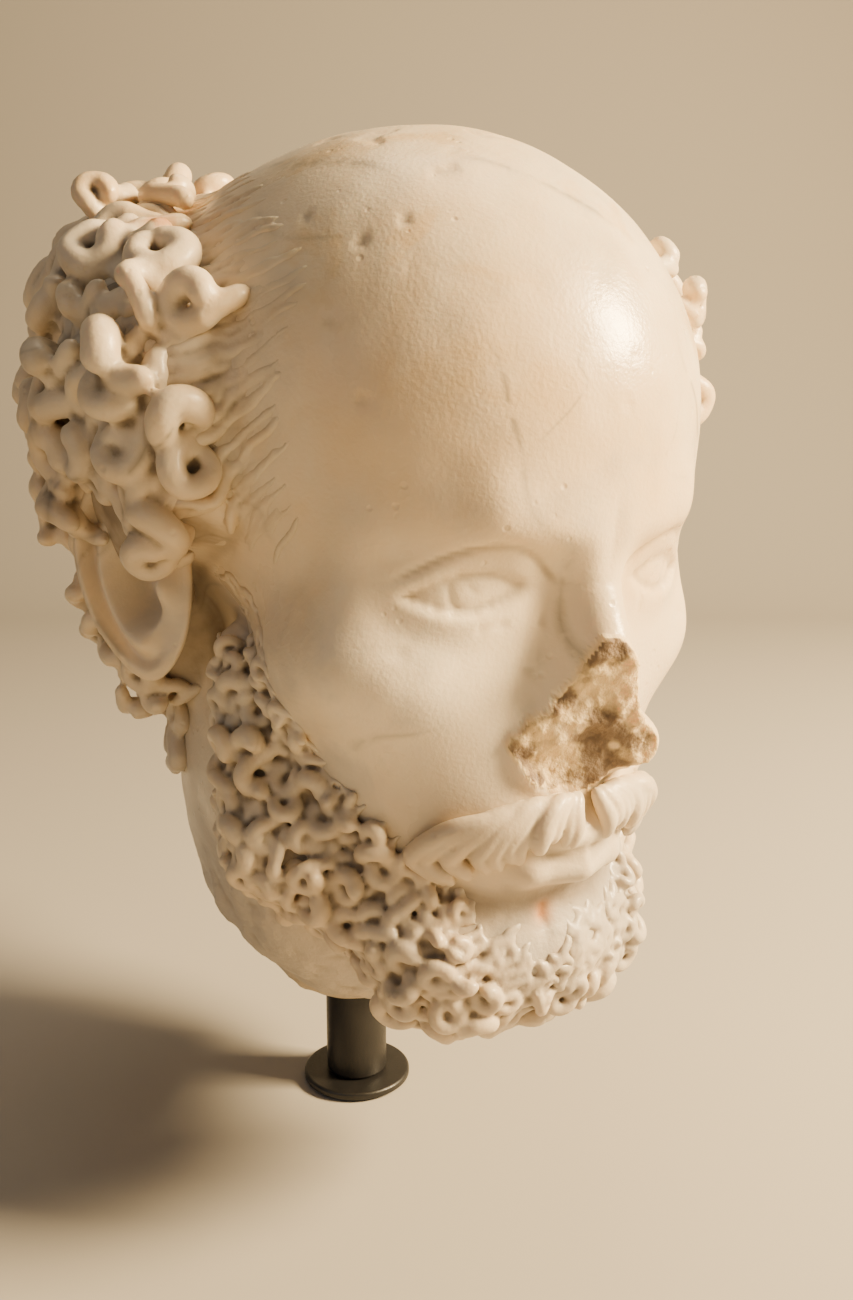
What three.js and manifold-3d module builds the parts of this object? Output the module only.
// A bearded marble head, broken at the neck, on a round black display post.
// Millimetres, +Z up. The origin is on the post's axis, at the underside of the base collar's gasket.
// The face looks along -Y, and its left side is towards +X.

import * as THREE from "three";
import { mergeVertices } from "three/addons/utils/BufferGeometryUtils.js";
import Module from "manifold-3d";

// ---- Driving dimensions ----

// Marble head
const headHeight = 282; // crown to bare chin
const earLineForward = 31.6; // ear line in front of the post's axis
const headNod = 3.4; // degrees, chin down
const hairDepth = 32; // mass of curls over the scalp
const curlSwell = 5; // how far the big curls stand out of the mass
const beardDepth = 16; // beard below the bare chin
const neckBreakDepth = 60; // lowest point of the broken neck below the bare chin
const seatSocketDepth = 18.25; // how far the socket for the seat goes up into the broken neck

// Display post, from the plinth upwards
const gasketThickness = 1;
const collarDiameter = 45;
const collarThickness = 3;
const collarChamfer = 0.8;
const postWall = 3;
const postLength = 44;
const postFootChamfer = 1.2;
const seatDiameter = 30;
const seatThickness = 4;
const padThickness = 2;

// Dowel inside the post and the neck
const rodDiameter = 16;
const rodEngagement = 100; // length inside the neck sleeve
const studDiameter = 12; // the rod's threaded foot, which goes down through a plinth's top
const studLength = 42; // below the gasket
const studChamfer = 1.5;
const ringLength = 8; // centring rings between rod and tube
const ringWall = 1.5;
const sleeveWall = 1.5;
const plugLength = 6; // closes the top of the sleeve
const beddingThickness = 2.5; // resin between sleeve and stone
const crossPinDiameter = 4;

// Clearances
const contactGap = 0.05; // between pieces that rest on each other
const runningGap = 0.4; // between the rod and what turns or lifts over it
const socketGap = 0.8; // between the seat and the stone around it
const fitGap = 0.1; // between pieces fixed inside one another

// Mesh fineness
const turnedSides = 48;
const headColumns = 76;
const headRows = 46;

// ---- Heights up the post ----

const collarBottom = gasketThickness + contactGap;
const collarTop = collarBottom + collarThickness;
const postBottom = collarTop + contactGap;
const postTop = postBottom + postLength;
const seatBottom = postTop + contactGap;
const seatTop = seatBottom + seatThickness;
const padBottom = seatTop + contactGap;
const padTop = padBottom + padThickness;
const stoneSeat = padTop + contactGap;
const chinHeight = stoneSeat + neckBreakDepth - seatSocketDepth; // bare chin above the plinth
const rodTop = stoneSeat + rodEngagement;
const plugBottom = rodTop + runningGap;
const sleeveTop = plugBottom + plugLength;
const dowelHoleTop = sleeveTop + beddingThickness;

const rodRadius = rodDiameter / 2;
const sleeveInner = rodRadius + runningGap;
const sleeveOuter = sleeveInner + sleeveWall;
const beddingInner = sleeveOuter + contactGap;
const beddingOuter = beddingInner + beddingThickness;
const dowelHoleRadius = beddingOuter + contactGap;
const postInner = rodRadius + ringWall + 2 * fitGap;
const postDiameter = 2 * (postInner + postWall);

// ---- Materials ----

const finish = (color, roughness, metalness) =>
  new THREE.MeshStandardMaterial({ color, roughness, metalness });
const marble = finish(0xd9cdb8, 0.45, 0);
const blackPaint = finish(0x17171a, 0.5, 0.2);
const stainless = finish(0xb4b6b8, 0.35, 1);
const resin = finish(0xb89f6c, 0.6, 0);
const nylon = finish(0xe6e2d6, 0.55, 0);
const lead = finish(0x6e7276, 0.7, 0.6);
const rubber = finish(0x232323, 0.9, 0);

// ---- Distance fields: negative inside, canon millimetres ----
// The canon head is 235 mm from chin to crown: x towards its left, y forward of the ears, z up from the bare chin.

const CANON_HEIGHT = 235;
const canon = headHeight / CANON_HEIGHT;

const clamp01 = (t) => Math.min(1, Math.max(0, t));

const smoothStep = (t, low, high) => {
  const s = clamp01((t - low) / (high - low));
  return s * s * (3 - 2 * s);
};

// The union of two fields with a fillet of about the given width.
const blend = (a, b, width) => {
  const h = Math.max(width - Math.abs(a - b), 0) / width;
  return Math.min(a, b) - (h * h * width) / 4;
};

// The first field with the second cut out of it.
const carve = (a, b, width) => -blend(-a, b, width);

function ellipsoid(p, centre, radii) {
  const q = p.map((v, i) => (v - centre[i]) / radii[i]);
  const k0 = Math.hypot(...q);
  const k1 = Math.hypot(...q.map((v, i) => v / radii[i]));
  return (k0 * (k0 - 1)) / Math.max(k1, 1e-9);
}

function taperedBar(p, from, to, fromRadius, toRadius) {
  const along = to.map((v, i) => v - from[i]);
  const reach = p.map((v, i) => v - from[i]);
  const dot = (a, b) => a[0] * b[0] + a[1] * b[1] + a[2] * b[2];
  const t = clamp01(dot(reach, along) / dot(along, along));
  const off = reach.map((v, i) => v - along[i] * t);
  return Math.hypot(...off) - (fromRadius + (toRadius - fromRadius) * t);
}

// ---- The head's forms. Each takes a point already mirrored to x >= 0. ----

function skull(p) {
  const vault = ellipsoid(p, [0, -14, 154], [76, 98, 74]);
  const forehead = ellipsoid(p, [0, 20, 156], [65, 71, 70]);
  return blend(vault, forehead, 24);
}

function faceBlock(p) {
  let f = ellipsoid(p, [0, 36, 78], [56, 50, 72]);
  f = blend(f, taperedBar(p, [44, 10, 44], [10, 66, 16], 17, 17), 18);
  f = blend(f, ellipsoid(p, [40, 48, 96], [27, 29, 24]), 16);
  return f;
}

function brow(p) {
  return taperedBar(p, [0, 84, 133], [42, 66, 135], 8, 8);
}

const eyeSocket = (p) => ellipsoid(p, [31, 97, 116], [19, 17, 14]);
const eyeball = (p) => ellipsoid(p, [31, 66, 117], [15, 15, 14]);

// What is left of the nose: the bridge, and the rough stump of the tip and wings.
function brokenNose(p) {
  const bridge = taperedBar(p, [0, 84, 124], [0, 86, 84], 7, 13);
  const stump = ellipsoid(p, [0, 84, 78], [19, 15, 14]);
  return blend(bridge, stump, 10);
}

function muzzle(p) {
  const lips = ellipsoid(p, [0, 74, 44], [27, 18, 20]);
  const moustache = taperedBar(p, [0, 86, 56], [34, 68, 38], 8, 8);
  return blend(lips, moustache, 8);
}

// The neck tapers to a broken end that closes round the top of the post.
function brokenNeck(p) {
  const end = -neckBreakDepth / canon;
  const endRadius = 30;
  const mass = ellipsoid(p, [0, -8, 46], [63, 66, 86]);
  const stub = taperedBar(p, [0, -24, end + endRadius], [0, -14, 40], endRadius, 50);
  return blend(mass, stub, 12);
}

function beardMass(p) {
  const chin = 10 - beardDepth / canon;
  let f = taperedBar(p, [60, 12, 86], [54, 30, 36], 9, 18);
  f = blend(f, taperedBar(p, [54, 30, 36], [16, 64, chin + 14], 18, 22), 14);
  f = blend(f, taperedBar(p, [16, 64, chin + 14], [0, 68, chin + 12], 22, 22), 14);
  return f;
}

// 1 where hair grows: a fringe behind the temples and the ears, under a bald crown and above the nape.
function hairCover(p) {
  const behindTemple = smoothStep(-0.742 * p[1] - 0.67 * p[2], -136, -112);
  const frontEdge = -16 + 44 * smoothStep(p[2], 98, 134);
  const behindEar = smoothStep(frontEdge - p[1], -10, 12);
  const aboveNape = smoothStep(p[2], 44, 74);
  const belowCrown = smoothStep(-p[2], -226, -196);
  return behindTemple * behindEar * aboveNape * belowCrown;
}

// Big round curls as rows of soft bumps, each row half a curl on from the last.
function curlBumps(p) {
  const rowSpacing = 22;
  const curlsRound = 15;
  const row = (Math.PI * p[2]) / rowSpacing;
  const turn = (curlsRound * Math.atan2(p[0], -p[1])) / 2;
  return Math.cos(row) * Math.cos(turn) + Math.sin(row) * Math.sin(turn);
}

// The hair that hangs behind the ears and over the nape, cut off by a plane behind the ears.
function napeHair(p, thickness) {
  const behindEars = -12;
  const mass = ellipsoid(
    p,
    [0, -32, 92],
    [57 + thickness, 51 + thickness, 19 + thickness],
  );
  return carve(mass, behindEars - p[1], 12);
}

function hairMass(p) {
  const thickness = (hairDepth + curlSwell * curlBumps(p)) / canon;
  const fringe = skull(p) - thickness * hairCover(p);
  return blend(fringe, napeHair(p, thickness), 10);
}

function headField(point) {
  const p = [Math.abs(point[0]), point[1], point[2]];
  let f = blend(skull(p), faceBlock(p), 20);
  f = blend(f, brow(p), 12);
  f = carve(f, eyeSocket(p), 12);
  f = blend(f, eyeball(p), 4);
  f = blend(f, brokenNose(p), 10);
  f = blend(f, muzzle(p), 8);
  f = blend(f, brokenNeck(p), 12);
  f = blend(f, beardMass(p), 8);
  return blend(f, hairMass(p), 6);
}

// ---- The stone ----

// Canon millimetres to the part's frame: scaled, turned to face -Y, nodded about the ears and set on the post.
function placeOnPost([x, y, z]) {
  const nod = THREE.MathUtils.degToRad(headNod);
  const pivot = 117;
  const forward = y * Math.cos(nod) + (z - pivot) * Math.sin(nod);
  const up = pivot + (z - pivot) * Math.cos(nod) - y * Math.sin(nod);
  return [x * canon, -forward * canon - earLineForward, up * canon + chinHeight];
}

// Distance from the spine to the stone's surface along one direction, by halving.
function reachOf(from, direction) {
  let inside = 0;
  let outside = 260;
  for (let i = 0; i < 24; i++) {
    const middle = (inside + outside) / 2;
    const at = from.map((v, k) => v + direction[k] * middle);
    if (headField(at) < 0) inside = middle;
    else outside = middle;
  }
  return outside;
}

// A closed surface of rings, each point found along a ray from the head's upright spine.
function stoneGeometry() {
  const spine = { forward: 5, middle: 118, half: 55 };
  const pointAt = (turn, tilt) => {
    const from = [0, spine.forward, spine.middle + spine.half * Math.cos(tilt)];
    const direction = [
      Math.sin(turn) * Math.sin(tilt),
      Math.cos(turn) * Math.sin(tilt),
      Math.cos(tilt),
    ];
    const reach = reachOf(from, direction);
    return placeOnPost(from.map((v, k) => v + direction[k] * reach));
  };
  const positions = [pointAt(0, 0)];
  for (let row = 1; row < headRows; row++)
    for (let column = 0; column < headColumns; column++)
      positions.push(
        pointAt((2 * Math.PI * column) / headColumns, (Math.PI * row) / headRows),
      );
  positions.push(pointAt(0, Math.PI));

  const at = (row, column) => 1 + (row - 1) * headColumns + (column % headColumns);
  const last = positions.length - 1;
  const triangles = [];
  for (let c = 0; c < headColumns; c++) {
    triangles.push([0, at(1, c), at(1, c + 1)]);
    triangles.push([last, at(headRows - 1, c + 1), at(headRows - 1, c)]);
    for (let r = 1; r < headRows - 1; r++) {
      triangles.push([at(r, c), at(r + 1, c), at(r, c + 1)]);
      triangles.push([at(r, c + 1), at(r + 1, c), at(r + 1, c + 1)]);
    }
  }
  const geometry = new THREE.BufferGeometry();
  geometry.setAttribute(
    "position",
    new THREE.Float32BufferAttribute(positions.flat(), 3),
  );
  geometry.setIndex(triangles.flat());
  return geometry;
}

// ---- Solids and cuts ----

const wasm = await Module();
wasm.setup();

function toSolid(geometry) {
  const bare = geometry.clone();
  bare.deleteAttribute("normal");
  bare.deleteAttribute("uv");
  const merged = mergeVertices(bare, 1e-4);
  return new wasm.Manifold(
    new wasm.Mesh({
      numProp: 3,
      vertProperties: new Float32Array(merged.attributes.position.array),
      triVerts: new Uint32Array(merged.index.array),
    }),
  );
}

function toGeometry(solid) {
  const mesh = solid.getMesh();
  const geometry = new THREE.BufferGeometry();
  geometry.setAttribute(
    "position",
    new THREE.Float32BufferAttribute(mesh.vertProperties, 3),
  );
  geometry.setIndex(new THREE.BufferAttribute(mesh.triVerts, 1));
  geometry.computeVertexNormals();
  return geometry;
}

const cut = (geometry, ...tools) =>
  toGeometry(
    tools.reduce((solid, tool) => solid.subtract(toSolid(tool)), toSolid(geometry)),
  );

// A solid turned about the post's axis, from [radius, height] points that go round it anticlockwise.
function turned(profile) {
  const points = [...profile, profile[0]].map(([r, z]) => new THREE.Vector2(r, z));
  return new THREE.LatheGeometry(points, turnedSides).rotateX(Math.PI / 2);
}

const disc = (radius, bottom, top) =>
  turned([
    [0, bottom],
    [radius, bottom],
    [radius, top],
    [0, top],
  ]);

const ring = (inner, outer, bottom, top) =>
  turned([
    [inner, bottom],
    [outer, bottom],
    [outer, top],
    [inner, top],
  ]);

const model = new THREE.Group();

function add(name, geometry, material) {
  const mesh = new THREE.Mesh(geometry, material);
  mesh.name = name;
  model.add(mesh);
}

// An ear in the canon frame: a tilted ellipsoid, and a smaller one that hollows it.
function earLump(side, sink, radii) {
  const [x, y, z] = placeOnPost([side * (82 + sink), -8 + sink / 2, 116]);
  return new THREE.SphereGeometry(1, 20, 14)
    .scale(...radii.map((r) => r * canon))
    .rotateX(THREE.MathUtils.degToRad(12))
    .rotateZ(THREE.MathUtils.degToRad(side * 22))
    .translate(x, y, z);
}

// The stone with its two ears joined on and hollowed.
function stoneWithEars() {
  let solid = toSolid(stoneGeometry());
  for (const side of [-1, 1]) {
    solid = solid.add(toSolid(earLump(side, 0, [11, 21, 34])));
    solid = solid.subtract(toSolid(earLump(side, 11, [8, 12, 20])));
  }
  return toGeometry(solid);
}

// ---- Marble head, with its dowel hole and the socket that seats on the post ----

const socketRadius = seatDiameter / 2 + socketGap;
add(
  "marble_head",
  cut(
    stoneWithEars(),
    disc(socketRadius, 0, stoneSeat),
    disc(dowelHoleRadius, stoneSeat - 1, dowelHoleTop),
  ),
  marble,
);

// ---- What is bedded in the neck ----

add(
  "sleeve_bedding",
  turned([
    [beddingInner, stoneSeat],
    [beddingOuter, stoneSeat],
    [beddingOuter, dowelHoleTop - contactGap],
    [0, dowelHoleTop - contactGap],
    [0, sleeveTop + contactGap],
    [beddingInner, sleeveTop + contactGap],
  ]),
  resin,
);
add("neck_sleeve", ring(sleeveInner, sleeveOuter, stoneSeat, sleeveTop), stainless);
add("sleeve_plug", disc(sleeveInner - fitGap, plugBottom, sleeveTop), stainless);

// ---- Seat at the top of the post ----

add(
  "bearing_pad",
  ring(rodRadius + runningGap, seatDiameter / 2, padBottom, padTop),
  nylon,
);

const seatHubLength = 12; // spigot that goes down inside the tube
const seatSpigot = postInner - fitGap;
const crossPinHeight = seatBottom - seatHubLength / 2;
// A rod through the spigot from side to side, along X.
const crossBar = (radius, length) =>
  new THREE.CylinderGeometry(radius, radius, length, 24)
    .rotateZ(Math.PI / 2)
    .translate(0, 0, crossPinHeight);
const pinRadius = crossPinDiameter / 2;
const pinHole = crossBar(pinRadius + fitGap, postDiameter);
add(
  "neck_seat",
  cut(
    turned([
      [rodRadius + fitGap, seatBottom - seatHubLength],
      [seatSpigot, seatBottom - seatHubLength],
      [seatSpigot, seatBottom],
      [seatDiameter / 2, seatBottom],
      [seatDiameter / 2, seatTop],
      [rodRadius + fitGap, seatTop],
    ]),
    pinHole,
  ),
  blackPaint,
);
add("seat_cross_pin", crossBar(pinRadius, 2 * seatSpigot - 2), stainless);

// ---- Dowel rod ----

const rodChamfer = 2;
const studRadius = studDiameter / 2;
add(
  "core_rod",
  cut(
    turned([
      [0, -studLength],
      [studRadius - studChamfer, -studLength],
      [studRadius, studChamfer - studLength],
      [studRadius, collarBottom],
      [rodRadius, collarBottom],
      [rodRadius, rodTop - rodChamfer],
      [rodRadius - rodChamfer, rodTop],
      [0, rodTop],
    ]),
    pinHole,
  ),
  stainless,
);

const centringRing = (bottom) =>
  ring(rodRadius + fitGap, postInner - fitGap, bottom, bottom + ringLength);
add("lower_centring_ring", centringRing(postBottom + contactGap), nylon);
add(
  "upper_centring_ring",
  centringRing(seatBottom - seatHubLength - contactGap - ringLength),
  nylon,
);

// ---- Visible post and foot ----

const postRadius = postDiameter / 2;
add(
  "post_tube",
  turned([
    [postInner, postBottom],
    [postRadius - postFootChamfer, postBottom],
    [postRadius, postBottom + postFootChamfer],
    [postRadius, postTop],
    [postInner, postTop],
  ]),
  blackPaint,
);

const collarRadius = collarDiameter / 2;
add(
  "base_collar",
  turned([
    [rodRadius + fitGap, collarBottom],
    [collarRadius, collarBottom],
    [collarRadius, collarTop - collarChamfer],
    [collarRadius - collarChamfer, collarTop],
    [rodRadius + fitGap, collarTop],
  ]),
  blackPaint,
);
const gasketInset = 1.5; // clear of the stud, and just inside the collar's edge
add(
  "collar_gasket",
  ring(studRadius + gasketInset, collarRadius - gasketInset, 0, gasketThickness),
  rubber,
);

export default model;
